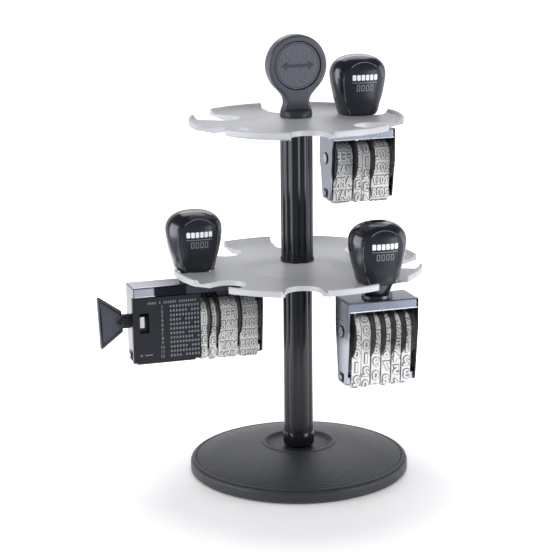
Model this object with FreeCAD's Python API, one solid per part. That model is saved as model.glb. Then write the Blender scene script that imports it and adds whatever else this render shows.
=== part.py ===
import FreeCAD, Part
import math
import os

# Desk carousel for hanging band stamps. Millimetres, +Z up, origin on the pole
# axis at the desk. Every stamp faces -Y and is built in its own frame, whose
# origin is the middle of the folded frame's top face.

os.makedirs("parts", exist_ok=True)
V = FreeCAD.Vector
X_AXIS = V(1, 0, 0)
Y_AXIS = V(0, 1, 0)
Z_AXIS = V(0, 0, 1)

# ---- fits ----
running_gap = 0.06        # radial, turning on a rod
seat_gap = 0.02           # radial, fixed pieces plugged together
side_gap = 0.2            # between a wheel and whatever stands beside it
slide_gap = 0.15          # between a hanging handle and its tray

# ---- foot ----
base_radius = 57.0
pad_radius = 54.0
pad_thickness = 1.2
rim_height = 5.6
shoulder_radius = 54.4
shoulder_height = 8.0
hub_ring_radius = 18.7
hub_ring_height = 15.5
well_radius = 10.5
well_floor = 12.9
shell_wall = 2.4
weight_radius = 49.0
weight_thickness = 4.9
boss_radius = 8.0

# ---- spindle ----
rod_radius = 3.0
rod_top = 100.0
rod_head_radius = 7.0
rod_head_thickness = 2.0
nut_height = 3.6
nut_flats = 9.4
washer_thickness = 0.8
washer_radius = 5.4

# ---- poles ----
lobe_count = 8
lobe_radius = 4.0
lower_pole_radius = 7.8
upper_pole_radius = 8.3
pole_foot_radius = 8.3
pole_foot_height = 8.0
pole_flare = 0.35         # how far the upper pole's lowest lobes stand out
pole_flare_height = 1.8
spigot_radius = 5.5
spigot_length = 5.0       # of the lower pole, up into the upper pole
cap_spigot_length = 3.2   # of the upper pole, up into the finial
pole_bore = 5.0
pole_foot_round = 1.6
bush_length = 11.0
lower_pole_turn = 4.0 - 18.4
upper_pole_turn = 13.0 - 18.4

# ---- trays ----
lower_tray_radius = 64.5
upper_tray_radius = 54.4
lower_tray_top = 112.1
upper_tray_top = 187.3
rim_lip = 2.6             # how far the rim stands above the plate
rim_face = 3.3            # height of the rim's outer face
rim_haunch = 8.5          # how far in from the rim the underside turns up
plate_thickness = 2.6
lip_width = 1.7
lip_foot = 2.4            # width of the slope from the lip to the plate
hub_cone_radius = 27.0    # where the plate starts to rise to the pole
hub_flat_radius = 9.6
lower_hub_rise = 3.3
upper_hub_rise = 2.4
slot_width = 18.0
mouth_width = 22.2
mouth_depth = 11.0
mouth_round = 1.5
waist_round = 24.0
lower_slots = 8
upper_slots = 6
lower_first_slot = -14.9  # degrees from -Y towards +X
upper_first_slot = -9.7
lower_slot_depth = 22.0
upper_slot_depth = 23.0

# ---- finial ----
collar_radius = 8.15
collar_height = 4.1
neck_half_width = 6.3
neck_flare = 1.0          # how far the blade widens again at the collar
ring_radius = 15.4
ring_thickness = 7.5
ring_centre = 213.2
medallion_radius = 12.3
medallion_recess = 0.5

# ---- stamp handles ----
seat_offset = 10.1        # from the slot's inner end to the neck centre
grip_height = 30.8
widest_height = 20.6
grip_foot_half_width = 9.7
grip_foot_half_depth = 9.3
grip_half_width = 14.5
grip_half_depth = 11.6
neck_half_x = 8.8         # where the neck leaves the grip
neck_half_y = 7.8
neck_waist_half_x = 5.8   # just above the shoe
neck_waist_half_y = 5.6
shoe_half_x = 8.0
shoe_half_y = 6.8
shoe_height = 1.3
peg_radius = 2.5
peg_length = 1.3
inlay_margin = 4.1
inlay_proud = 0.35
inlay_depth = 0.9
inlay_foot_half = 6.4

# ---- stamp frames, wheels and bands ----
sheet = 0.8
lip_drop = 5.0
frame_waist = 15.0        # side plates taper below this drop
frame_foot_half = 5.6
axle_radius = 1.5
rivet_radius = 2.5
rivet_thickness = 0.6
hub_radius = 6.3
thumb_notches = 18
notch_radius = 1.0
notch_depth = 0.4
band_thickness = 1.2
band_side_gap = 0.1
band_seat = 0.3           # between a wheel's hub and the band round it
foot_roll = 1.3           # inner radius of a band's two bottom corners
foot_spread = 3.4         # their distance from the middle
band_overhang = 1.6       # how far the bands reach below the side plates
bridge_height = 4.2
lug_width = 2.6
lug_height = 2.0
lug_proud = 0.7

# ---- numbering stamp ----
number_depth = 18.7
number_height = 43.0
number_neck = 7.5
number_axle_drop = 16.3
number_slot = 1           # counted on from the first slot
number_band = 4.5
number_bands = 6
number_flange = 0.5
number_flange_radius = 14.0
number_left_play = 1.5    # between the left plate and the first wheel
number_right_play = 1.7

# ---- date stamp ----
date_depth = 19.0
date_height = 36.7
date_neck = 7.1
date_axle_drop = 15.2
date_slot = 2
date_seat_shift = -0.8
date_month_band = 10.0
date_day_band = 4.0
date_year_band = 9.6
date_flange = 0.8
date_flange_radius = 13.3
date_left_play = 0.35
date_right_play = 0.65

# ---- phrase stamp ----
phrase_width = 68.8
phrase_depth = 15.4
phrase_height = 39.8
phrase_neck = 6.0
phrase_axle_drop = 18.5
phrase_slot = -2
phrase_seat_shift = 0.4
phrase_day_band = 3.4
phrase_month_band = 10.1
phrase_year_band = 9.6
phrase_flange = 1.0
phrase_flange_radius = 12.8
phrase_right_play = 0.9   # between the last wheel and the right plate
drum_radius = 4.6
drum_flange_radius = 6.6
drum_band_thickness = 1.0
drum_cheek = 1.0          # thickness of the drum's two flanges
drum_end_gap = 0.3        # between the drum and the plates beside it
cover_thickness = 0.8
cover_wrap = 0.6          # the cover's return round the left plate
cover_wrap_depth = 2.4
cover_drop = 39.2         # its lower edge below the frame's top
window_width = 4.8
window_height = 10.4
window_inset = 3.0
knob_neck_radius = 3.7
knob_neck_length = 4.6
knob_shaft_radius = 3.0
knob_spigot_radius = 2.3
knob_reach = 11.6
knob_tip_height = 27.8
knob_root_height = 10.6
knob_blade_thickness = 3.0
knob_border = 1.5         # width of the raised border round the blade
knob_recess = 0.35
knob_boss_radius = 3.0
knob_boss_proud = 1.0
knob_lean = 13.0


# ---- shape helpers ----
def save(name, shape):
    shape.exportStep("parts/" + name + ".step")


def face_of(points):
    return Part.Face(Part.makePolygon(points + [points[0]]))


def turned(points):
    """Solid of revolution about Z from (radius, height) corners."""
    return face_of([V(r, 0, z) for r, z in points]).revolve(V(), Z_AXIS, 360)


def rod(radius, start, direction, length):
    return Part.makeCylinder(radius, length, start, direction)


def block(x0, x1, y0, y1, z0, z1):
    return Part.makeBox(x1 - x0, y1 - y0, z1 - z0, V(x0, y0, z0))


def fused(first, others):
    return first.multiFuse(others).removeSplitter()


def rounded(shape, radius, wanted):
    """Fillet the edges whose middle point passes the test."""
    edges = [e for e in shape.Edges if wanted(e.CenterOfMass, e)]
    return shape.makeFillet(radius, edges)


def arc(start, middle, end):
    return Part.Arc(start, middle, end).toShape()


def line(start, end):
    return Part.LineSegment(start, end).toShape()


def polar(radius, degrees):
    """Point at an angle counted from -Y towards +X."""
    turn = math.radians(degrees)
    return V(radius * math.sin(turn), -radius * math.cos(turn), 0)


# ---- foot ----
def make_base_shell():
    crown = 0.5 * (shoulder_radius + hub_ring_radius)
    crown_height = 0.5 * (shoulder_height + hub_ring_height) + 0.9
    top = [
        line(V(rod_radius + 0.05, 0, well_floor), V(well_radius, 0, well_floor)),
        arc(
            V(well_radius, 0, well_floor),
            V(hub_ring_radius - 4.0, 0, well_floor + 0.6),
            V(hub_ring_radius - 1.2, 0, hub_ring_height - 0.3),
        ),
        arc(
            V(hub_ring_radius - 1.2, 0, hub_ring_height - 0.3),
            V(hub_ring_radius - 0.3, 0, hub_ring_height),
            V(hub_ring_radius + 0.9, 0, hub_ring_height - 0.5),
        ),
        arc(
            V(hub_ring_radius + 0.9, 0, hub_ring_height - 0.5),
            V(crown, 0, crown_height),
            V(shoulder_radius - 0.6, 0, shoulder_height),
        ),
        line(V(shoulder_radius - 0.6, 0, shoulder_height), V(shoulder_radius - 0.3, 0, shoulder_height - 0.4)),
        line(V(shoulder_radius - 0.3, 0, shoulder_height - 0.4), V(shoulder_radius, 0, shoulder_height)),
        arc(
            V(shoulder_radius, 0, shoulder_height),
            V(base_radius - 0.7, 0, rim_height + 1.7),
            V(base_radius, 0, rim_height),
        ),
        line(V(base_radius, 0, rim_height), V(base_radius, 0, pad_thickness + 0.8)),
        line(V(base_radius, 0, pad_thickness + 0.8), V(base_radius - 0.8, 0, pad_thickness)),
    ]
    inner = base_radius - shell_wall
    weight_top = pad_thickness + weight_thickness
    under = [
        V(base_radius - 0.8, 0, pad_thickness),
        V(inner, 0, pad_thickness),
        V(inner, 0, rim_height - 0.6),
        V(inner - 2.4, 0, rim_height + 0.6),
        V(hub_ring_radius + 1.5, 0, well_floor - shell_wall + 0.7),
        V(boss_radius, 0, well_floor - shell_wall),
        V(boss_radius, 0, weight_top),
        V(rod_radius + 0.05, 0, weight_top),
        V(rod_radius + 0.05, 0, well_floor),
    ]
    for a, b in zip(under[:-1], under[1:]):
        top.append(line(a, b))
    return Part.Face(Part.Wire(top)).revolve(V(), Z_AXIS, 360)


def make_base_weight():
    low = pad_thickness
    high = pad_thickness + weight_thickness
    step = low + 0.3 + rod_head_thickness
    return turned([
        (rod_head_radius + 0.1, low),
        (weight_radius - 0.5, low),
        (weight_radius, low + 0.5),
        (weight_radius, high - 0.5),
        (weight_radius - 0.5, high),
        (rod_radius + 0.05, high),
        (rod_radius + 0.05, step),
        (rod_head_radius + 0.1, step),
    ])


def make_base_pad():
    return turned([
        (0, 0),
        (pad_radius - 0.4, 0),
        (pad_radius, 0.4),
        (pad_radius, pad_thickness),
        (0, pad_thickness),
    ])


def make_spindle_rod():
    low = pad_thickness + 0.3
    return turned([
        (0, low),
        (rod_head_radius, low),
        (rod_head_radius, low + rod_head_thickness),
        (rod_radius, low + rod_head_thickness),
        (rod_radius, rod_top - 1.0),
        (rod_radius - 1.0, rod_top),
        (0, rod_top),
    ])


def make_spindle_nut():
    corner = nut_flats / math.sqrt(3)
    points = []
    for i in range(6):
        turn = math.radians(60 * i)
        points.append(V(corner * math.cos(turn), corner * math.sin(turn), well_floor))
    nut = face_of(points).extrude(V(0, 0, nut_height))
    return nut.cut(rod(rod_radius + seat_gap, V(), Z_AXIS, 2 * rod_top))


def make_thrust_washer():
    low = well_floor + nut_height
    ring = rod(washer_radius, V(0, 0, low), Z_AXIS, washer_thickness)
    return ring.cut(rod(rod_radius + 0.1, V(), Z_AXIS, 2 * rod_top))


# ---- poles ----
def lobed(radius, low, high, turn):
    """Fluted column made of equal round lobes."""
    centre = radius - lobe_radius
    half = math.pi / lobe_count
    reach = centre * math.sin(half)
    valley = centre * math.cos(half) + math.sqrt(lobe_radius ** 2 - reach ** 2)
    edges = []
    for i in range(lobe_count):
        middle = turn + 360.0 / lobe_count * (i + 0.5)
        side = 180.0 / lobe_count
        edges.append(arc(
            polar(valley, middle - side) + V(0, 0, low),
            polar(radius, middle) + V(0, 0, low),
            polar(valley, middle + side) + V(0, 0, low),
        ))
    return Part.Face(Part.Wire(edges)).extrude(V(0, 0, high - low))


plate_drop = rim_lip + plate_thickness
lower_plate_top = lower_tray_top - rim_lip
lower_plate_bottom = lower_tray_top - plate_drop
lower_hub_top = lower_plate_top + lower_hub_rise
upper_plate_top = upper_tray_top - rim_lip
upper_plate_bottom = upper_tray_top - plate_drop
upper_hub_top = upper_plate_top + upper_hub_rise
pole_low = well_floor + 0.4
bush_low = well_floor + nut_height + washer_thickness + 0.3


def make_lower_pole():
    foot_top = pole_low + pole_foot_height
    column = lobed(lower_pole_radius, foot_top - 0.1, lower_plate_bottom, lower_pole_turn)
    foot = lobed(pole_foot_radius, pole_low, foot_top, lower_pole_turn)
    envelope = turned([
        (0, pole_low),
        (pole_foot_radius - pole_foot_round, pole_low),
        (pole_foot_radius, pole_low + pole_foot_round),
        (pole_foot_radius, foot_top - pole_foot_round),
        (lower_pole_radius, foot_top),
        (0, foot_top),
    ])
    high = lower_hub_top + spigot_length
    spigot = rod(spigot_radius, V(0, 0, lower_plate_bottom - 1.0), Z_AXIS, high - lower_plate_bottom + 1.0)
    nut_room = nut_flats / math.sqrt(3) + 0.6
    bore = turned([
        (0, pole_low - 1.0),
        (nut_room, pole_low - 1.0),
        (nut_room, bush_low),
        (rod_radius + running_gap, bush_low),
        (rod_radius + running_gap, bush_low + bush_length),
        (pole_bore, bush_low + bush_length + 1.0),
        (pole_bore, rod_top - bush_length),
        (rod_radius + running_gap, rod_top - bush_length + 1.0),
        (rod_radius + running_gap, rod_top + 0.6),
        (0, rod_top + 0.6),
    ])
    return fused(column, [foot.common(envelope), spigot]).cut(bore)


def make_upper_pole():
    column = lobed(upper_pole_radius, lower_hub_top, upper_plate_bottom, upper_pole_turn)
    flare = lobed(
        upper_pole_radius + pole_flare, lower_hub_top, lower_hub_top + pole_flare_height,
        upper_pole_turn,
    )
    high = upper_hub_top + cap_spigot_length
    spigot = rod(spigot_radius, V(0, 0, upper_plate_bottom - 1.0), Z_AXIS, high - upper_plate_bottom + 1.0)
    socket = rod(spigot_radius + seat_gap, V(0, 0, lower_hub_top - 1.0), Z_AXIS, spigot_length + 1.5)
    hollow = rod(pole_bore, V(0, 0, lower_hub_top), Z_AXIS, upper_plate_bottom - lower_hub_top - 6.0)
    return fused(column, [flare, spigot]).cut(socket).cut(hollow)


# ---- trays ----
def slot_cutter(tray_radius, depth, degrees, low, high):
    """Open slot with a round inner end, a wider mouth and round corners at the rim."""
    half = 0.5 * slot_width
    mouth = 0.5 * mouth_width
    centre = tray_radius - depth + half
    waist = tray_radius - mouth_depth
    corner = math.sqrt(tray_radius ** 2 - mouth ** 2) - 0.8 * mouth_round
    outside = tray_radius + 4.0
    bend = mouth_round * math.sqrt(0.5)
    sides = []
    for way in (-1, 1):
        sides.append([
            V(-centre, way * half, low),
            V(-waist, way * half, low),
            V(-corner, way * mouth, low),
            V(-corner - bend, way * (mouth + mouth_round - bend), low),
            V(-corner - mouth_round, way * (mouth + mouth_round), low),
            V(-outside, way * (mouth + mouth_round), low),
        ])
    edges = [
        line(sides[0][5], sides[1][5]),
        arc(sides[1][0], V(-centre + half, 0, low), sides[0][0]),
    ]
    for side in sides:
        edges += [
            line(side[0], side[1]),
            line(side[1], side[2]),
            arc(side[2], side[3], side[4]),
            line(side[4], side[5]),
        ]
    outline = Part.Wire(Part.__sortEdges__(edges))
    cutter = Part.Face(outline).extrude(V(0, 0, high - low))

    def at_waist(middle, edge):
        return abs(middle.x + waist) < 0.01 and edge.Length > high - low - 0.1

    cutter = rounded(cutter, waist_round, at_waist)
    # the slot is drawn opening towards -X, and angle 0 must open towards -Y
    return cutter.rotate(V(), Z_AXIS, 90 + degrees)


def make_tray(radius, top, hub_rise, count, first, depth):
    plate_top = top - rim_lip
    plate_bottom = plate_top - plate_thickness
    rim_bottom = top - rim_face
    bore = spigot_radius + seat_gap
    tray = turned([
        (bore, plate_bottom),
        (radius - rim_haunch, plate_bottom),
        (radius - 2.2, rim_bottom - 0.3),
        (radius - 0.3, rim_bottom),
        (radius, rim_bottom + 0.3),
        (radius, top - 0.4),
        (radius - 0.4, top),
        (radius - lip_width + 0.4, top),
        (radius - lip_width, top - 0.4),
        (radius - lip_width - 0.25 * lip_foot, plate_top + 0.35 * rim_lip),
        (radius - lip_width - lip_foot, plate_top),
        (hub_cone_radius, plate_top),
        (0.5 * (hub_cone_radius + hub_flat_radius), plate_top + 0.36 * hub_rise),
        (hub_flat_radius, plate_top + hub_rise),
        (bore, plate_top + hub_rise),
    ])
    cutters = []
    for i in range(count):
        turn = first + 360.0 / count * i
        cutters.append(slot_cutter(radius, depth, turn, plate_bottom - 1.0, top + 1.0))
    return tray.cut(cutters)


# ---- finial ----
def make_finial():
    low = upper_hub_top
    top = low + collar_height
    bead = turned([
        (0, low),
        (collar_radius - 0.5, low),
        (collar_radius, low + 0.5),
        (collar_radius, low + 0.55 * collar_height),
        (collar_radius - 0.4, low + 0.8 * collar_height),
        (collar_radius - 1.2, top),
        (0, top),
    ])
    half = 0.5 * ring_thickness
    join = ring_centre - ring_radius + 5.0
    shoulder = math.sqrt(ring_radius ** 2 - (ring_centre - join) ** 2)
    foot_half = neck_half_width + neck_flare
    foot_low = top - 0.5 * collar_height
    sides = []
    for way in (1, -1):
        curve = Part.BSplineCurve()
        curve.interpolate(
            [
                V(way * foot_half, -half, top),
                V(way * neck_half_width, -half, top + 4.4),
                V(way * shoulder, -half, join),
            ],
            InitialTangent=V(-0.5 * way, 0, 1),
            FinalTangent=V(way * (ring_centre - join), 0, shoulder),
        )
        sides.append(curve.toShape())
    outline = [
        line(V(-foot_half, -half, foot_low), V(foot_half, -half, foot_low)),
        line(V(foot_half, -half, foot_low), V(foot_half, -half, top)),
        line(V(-foot_half, -half, foot_low), V(-foot_half, -half, top)),
        sides[0],
        arc(
            V(shoulder, -half, join),
            V(0, -half, ring_centre + ring_radius),
            V(-shoulder, -half, join),
        ),
        sides[1],
    ]
    outline = Part.Wire(Part.__sortEdges__(outline))
    blade = Part.Face(outline).extrude(V(0, ring_thickness, 0))

    def rim(middle, edge):
        return abs(abs(middle.y) - half) < 0.01 and middle.z > top + 0.5

    blade = rounded(blade, 1.4, rim)
    body = fused(blade, [bead])
    socket = rod(spigot_radius + seat_gap, V(0, 0, low - 1.0), Z_AXIS, cap_spigot_length + 1.3)
    window_start = V(0, -ring_thickness, ring_centre)
    window = rod(medallion_radius + seat_gap, window_start, Y_AXIS, 2 * ring_thickness)
    return body.cut(socket).cut(window)


def make_medallion():
    half = 0.5 * ring_thickness - medallion_recess
    disc = rod(medallion_radius, V(0, -half, ring_centre), Y_AXIS, 2 * half)

    def rim(middle, edge):
        return abs(abs(middle.y) - half) < 0.01

    return rounded(disc, 0.4, rim)


# ---- stamp handles ----
def oval(half_x, half_y, height):
    """Closed smooth outline, slightly squarer than an ellipse."""
    power = 2.0 / 2.35
    points = []
    for i in range(20):
        turn = 2 * math.pi * i / 20
        c, s = math.cos(turn), math.sin(turn)
        x = math.copysign(abs(c) ** power, c) * half_x
        y = math.copysign(abs(s) ** power, s) * half_y
        points.append(V(x, y, height))
    curve = Part.BSplineCurve()
    curve.interpolate(points, PeriodicFlag=True)
    return Part.Wire(curve.toShape())


def grip_half(height, foot, full):
    """Half size of the grip at a height above its foot."""
    if height <= widest_height:
        rest = 1.0 - height / widest_height
        return full - (full - foot) * rest ** 1.55
    rise = (height - widest_height) / (grip_height - widest_height)
    return full * (1.0 - rise ** 2.3) ** (1 / 2.3)


def grip_solid(neck, inset, extra):
    """The pear-shaped grip; extra grows or shrinks its depth."""
    low = neck + slide_gap
    wires = [oval(grip_foot_half_width - 0.3 - inset, grip_foot_half_depth - 0.3 + extra, low)]
    steps = [0.4, 4.0, 8.0, 12.0, 16.0, widest_height - 1.0]
    dome = grip_height - widest_height
    steps += [widest_height + dome * part for part in (0.25, 0.5, 0.7, 0.85, 0.94, 0.985)]
    for height in steps:
        half_x = grip_half(height, grip_foot_half_width, grip_half_width) - inset
        half_y = grip_half(height, grip_foot_half_depth, grip_half_depth) + extra
        if height > widest_height:
            half_y -= extra * ((height - widest_height) / dome) ** 2
        wires.append(oval(half_x, half_y, low + height))
    return Part.makeLoft(wires, True)


def inlay_prism(neck, margin, front):
    """Shield-shaped prism, open at the foot, that marks out the flat inlay on one face."""
    low = neck + slide_gap
    foot = inlay_foot_half - (margin - inlay_margin)
    wide = grip_half_width - margin
    shoulder = widest_height - 1.6
    near = 0.2 * grip_half_depth
    far = 2.5 * grip_half_depth
    y = -far if front else near
    bottom = low - 1.0
    crown = grip_height - margin + 0.9
    hip = 0.45 * shoulder
    hip_half = 0.5 * (wide + foot) + 0.7
    edges = [
        arc(V(-wide, y, low + shoulder), V(0, y, low + crown), V(wide, y, low + shoulder)),
        arc(V(wide, y, low + shoulder), V(hip_half, y, low + hip), V(foot, y, bottom)),
        line(V(foot, y, bottom), V(-foot, y, bottom)),
        arc(V(-foot, y, bottom), V(-hip_half, y, low + hip), V(-wide, y, low + shoulder)),
    ]
    return Part.Face(Part.Wire(edges)).extrude(V(0, far - near, 0))


def neck_section(half_x, half_y, height):
    ring = Part.Wire(Part.Ellipse(V(), half_x, half_y).toShape())
    ring.translate(V(0, 0, height))
    return ring


def make_handle(neck, recessed_top):
    """Returns the handle and its two inlays."""
    grip = grip_solid(neck, 0.0, 0.0)
    core = grip_solid(neck, 0.0, -inlay_depth)
    skin = grip_solid(neck, 0.0, inlay_proud)
    inlays = []
    for front in (True, False):
        pocket = inlay_prism(neck, inlay_margin, front).cut(core)
        grip = grip.cut(pocket)
        fill = inlay_prism(neck, inlay_margin + 0.12, front)
        inlays.append(skin.common(fill).cut(core))
    if recessed_top:
        top = neck + slide_gap + grip_height
        grip = grip.cut(block(-3.4, 3.4, -3.0, 2.2, top - 2.2, top + 2.0))
    stem = Part.makeLoft([
        neck_section(neck_waist_half_x, neck_waist_half_y, shoe_height - 0.1),
        neck_section(neck_half_x, neck_half_y, neck + slide_gap + 0.3),
    ], True)
    shoe = Part.makeLoft([
        neck_section(shoe_half_x, shoe_half_y, 0),
        neck_section(shoe_half_x - 0.3, shoe_half_y - 0.3, shoe_height),
    ], True)
    peg = rod(peg_radius, V(0, 0, -peg_length), Z_AXIS, peg_length + 1.0)
    return grip.multiFuse([stem, shoe, peg]), Part.makeCompound(inlays)


# ---- stamp frames ----
def side_plate(x, width_x, depth, height):
    half = 0.5 * depth
    points = [
        V(x, -half, 0),
        V(x, -half, -frame_waist),
        V(x, -frame_foot_half, -height),
        V(x, frame_foot_half, -height),
        V(x, half, -frame_waist),
        V(x, half, 0),
    ]
    plate = face_of(points).extrude(V(width_x, 0, 0))

    def foot_corner(middle, edge):
        return abs(middle.z + height) < 0.01 and abs(abs(middle.y) - frame_foot_half) < 0.01

    return rounded(plate, 1.6, foot_corner)


def lug_block(width, height, grow):
    """Bar through both side plates that carries the bridge."""
    reach = 0.5 * width + lug_proud
    half = 0.5 * lug_width + grow
    low = -height + 2.2 - grow
    return block(-reach, reach, -half, half, low, low + lug_height + 2 * grow)


def make_frame(width, depth, height, axle_drop):
    half_w = 0.5 * width
    half_d = 0.5 * depth
    pieces = [
        side_plate(-half_w, sheet, depth, height),
        side_plate(half_w - sheet, sheet, depth, height),
        block(-half_w, half_w, -half_d, -half_d + sheet, -lip_drop, 0),
        block(-half_w, half_w, half_d - sheet, half_d, -lip_drop, 0),
    ]
    frame = fused(block(-half_w, half_w, -half_d, half_d, -sheet, 0), pieces)

    def fold(middle, edge):
        on_side = abs(abs(middle.x) - half_w) < 0.01 or abs(abs(middle.y) - half_d) < 0.01
        return abs(middle.z) < 0.01 and on_side

    frame = rounded(frame, 0.9, fold)
    frame = frame.cut(rod(axle_radius + seat_gap, V(-width, 0, -axle_drop), X_AXIS, 2 * width))
    frame = frame.cut(lug_block(width + 2.0, height, seat_gap))
    return frame.cut(peg_hole())


def peg_hole():
    return rod(peg_radius + seat_gap, V(0, 0, -peg_length - seat_gap), Z_AXIS, 2 * peg_length)


def make_axle(width, axle_drop):
    reach = 0.5 * width
    shaft = rod(axle_radius, V(-reach, 0, -axle_drop), X_AXIS, width)
    heads = [
        rod(rivet_radius, V(-reach - rivet_thickness, 0, -axle_drop), X_AXIS, rivet_thickness),
        rod(rivet_radius, V(reach, 0, -axle_drop), X_AXIS, rivet_thickness),
    ]
    return fused(shaft, heads)


def foot_height(height):
    """Centre height of the two bottom rolls of every band."""
    return -height - band_overhang + foot_roll + band_thickness


def make_bridge(width, height):
    low = foot_height(height) - foot_roll + seat_gap
    half = foot_spread + foot_roll - 0.05
    reach = 0.5 * width - sheet - 0.05
    bar = block(-reach, reach, -half, half, low, low + bridge_height)

    def sole(middle, edge):
        return abs(middle.z - low) < 0.01 and abs(abs(middle.y) - half) < 0.01

    bar = rounded(bar, foot_roll - 0.02, sole)
    return fused(bar, [lug_block(width, height, 0.0)])


# ---- bands and wheels ----
def belt_wire(x, top_height, top_radius, low_height, low_radius):
    """Belt outline round one big roll and two small ones, in a plane of constant x."""
    dy = foot_spread
    dz = low_height - top_height
    span = math.hypot(dy, dz)
    lean = math.atan2(dz, dy) + math.acos((top_radius - low_radius) / span)
    ny, nz = math.cos(lean), math.sin(lean)
    high = V(x, top_radius * ny, top_height + top_radius * nz)
    low = V(x, dy + low_radius * ny, low_height + low_radius * nz)
    half_turn = 0.5 * (lean - 0.5 * math.pi)
    corner_y = dy + low_radius * math.cos(half_turn)
    corner_z = low_height + low_radius * math.sin(half_turn)
    floor = low_height - low_radius
    corner = V(x, corner_y, corner_z)
    other_high = V(x, -high.y, high.z)
    other_low = V(x, -low.y, low.z)
    other_corner = V(x, -corner_y, corner_z)
    edges = [
        arc(other_high, V(x, 0, top_height + top_radius), high),
        line(high, low),
        arc(low, corner, V(x, dy, floor)),
        line(V(x, dy, floor), V(x, -dy, floor)),
        arc(V(x, -dy, floor), other_corner, other_low),
        line(other_low, other_high),
    ]
    return Part.Wire(edges)


def make_band(x, width, axle_drop, height, core, thickness):
    low = foot_height(height)
    outer = Part.Face(belt_wire(x, -axle_drop, core + thickness, low, foot_roll + band_thickness))
    inner = Part.Face(belt_wire(x, -axle_drop, core, low, foot_roll))
    return outer.cut(inner).extrude(V(width, 0, 0))


def make_flange(x, thickness, radius, axle_drop):
    disc = rod(radius, V(x, 0, -axle_drop), X_AXIS, thickness)
    notches = []
    reach = radius + notch_radius - notch_depth
    for i in range(thumb_notches):
        turn = 2 * math.pi * (i + 0.5) / thumb_notches
        y = reach * math.cos(turn)
        z = reach * math.sin(turn) - axle_drop
        notches.append(rod(notch_radius, V(x - 0.5, y, z), X_AXIS, thickness + 1.0))
    return disc.cut(notches)


def make_wheel(x, sides, flange, radius, zone, axle_drop):
    """Thumb wheel: the hub its band runs round, with a notched flange on some sides."""
    start = x
    shapes = []
    if "left" in sides:
        shapes.append(make_flange(x, flange, radius, axle_drop))
        x += flange
    hub = rod(hub_radius, V(x, 0, -axle_drop), X_AXIS, zone)
    if "right" in sides:
        shapes.append(make_flange(x + zone, flange, radius, axle_drop))
    wheel = fused(hub, shapes)
    return wheel.cut(rod(axle_radius + running_gap, V(start - 5, 0, -axle_drop), X_AXIS, zone + 20))


def place(shape, spot):
    moved = shape.copy()
    moved.translate(spot)
    return moved


def save_wheels(prefix, wheels, left, flange, radius, axle_drop, height, spot):
    """Wheels (name, band width, sides) and their bands side by side from left to right."""
    x = left
    for name, width, sides in wheels:
        zone = width + 2 * band_side_gap
        wheel = make_wheel(x, sides, flange, radius, zone, axle_drop)
        save(prefix + "_wheel_" + name, place(wheel, spot))
        start = x + band_side_gap + (flange if "left" in sides else 0.0)
        band = make_band(start, width, axle_drop, height, hub_radius + band_seat, band_thickness)
        save(prefix + "_band_" + name, place(band, spot))
        x += zone + flange * len(sides) + side_gap


def train_width(wheels, flange):
    """Length of a row of wheels along its axle."""
    zones = sum(width + 2 * band_side_gap for name, width, sides in wheels)
    flanges = sum(flange * len(sides) for name, width, sides in wheels)
    return zones + flanges + side_gap * (len(wheels) - 1)


number_wheels = [("1", number_band, ["left"])]
for place_number in range(2, number_bands + 1):
    number_wheels.append((str(place_number), number_band, ["right"]))
number_train = train_width(number_wheels, number_flange)
number_width = 2 * sheet + number_left_play + number_train + number_right_play

date_wheels = [
    ("month", date_month_band, ["left"]),
    ("tens", date_day_band, ["left"]),
    ("units", date_day_band, ["right"]),
    ("year", date_year_band, ["right"]),
]
date_train = train_width(date_wheels, date_flange)
date_width = 2 * sheet + date_left_play + date_train + date_right_play

phrase_wheels = [
    ("tens", phrase_day_band, ["right"]),
    ("units", phrase_day_band, ["right"]),
    ("month", phrase_month_band, ["right"]),
    ("year", phrase_year_band, ["right"]),
]
phrase_train = train_width(phrase_wheels, phrase_flange)
phrase_left = 0.5 * phrase_width - sheet - phrase_right_play - phrase_train
partition_x = phrase_left - side_gap - sheet
drum_zone = partition_x + 0.5 * phrase_width


def save_stamp(prefix, width, depth, height, neck, axle_drop, spot, recessed_top):
    handle, inlays = make_handle(neck, recessed_top)
    save(prefix + "_handle", place(handle, spot))
    save(prefix + "_inlays", place(inlays, spot))
    save(prefix + "_axle", place(make_axle(width, axle_drop), spot))
    save(prefix + "_bridge", place(make_bridge(width, height), spot))


# ---- phrase stamp ----
def make_phrase_frame():
    half = 0.5 * phrase_depth
    frame = make_frame(phrase_width, phrase_depth, phrase_height, phrase_axle_drop)
    wall = block(
        partition_x, partition_x + sheet, -half, half,
        -phrase_axle_drop - 7.0, -0.5 * sheet,
    )
    axis = V(partition_x - 1, 0, -phrase_axle_drop)
    wall = wall.cut(rod(axle_radius + seat_gap, axis, X_AXIS, 3))
    frame = fused(frame, [wall])
    bearing = V(-phrase_width, 0, -phrase_axle_drop)
    frame = frame.cut(rod(knob_shaft_radius + running_gap, bearing, X_AXIS, 0.5 * phrase_width + 2))
    return frame.cut(peg_hole())


def make_phrase_axle():
    """Rod from the right plate, through the partition, into the drum."""
    reach = 0.5 * phrase_width
    start = -reach + 12.0
    shaft = rod(axle_radius, V(start, 0, -phrase_axle_drop), X_AXIS, reach - start)
    head = rod(rivet_radius, V(reach, 0, -phrase_axle_drop), X_AXIS, rivet_thickness)
    return fused(shaft, [head])


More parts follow.
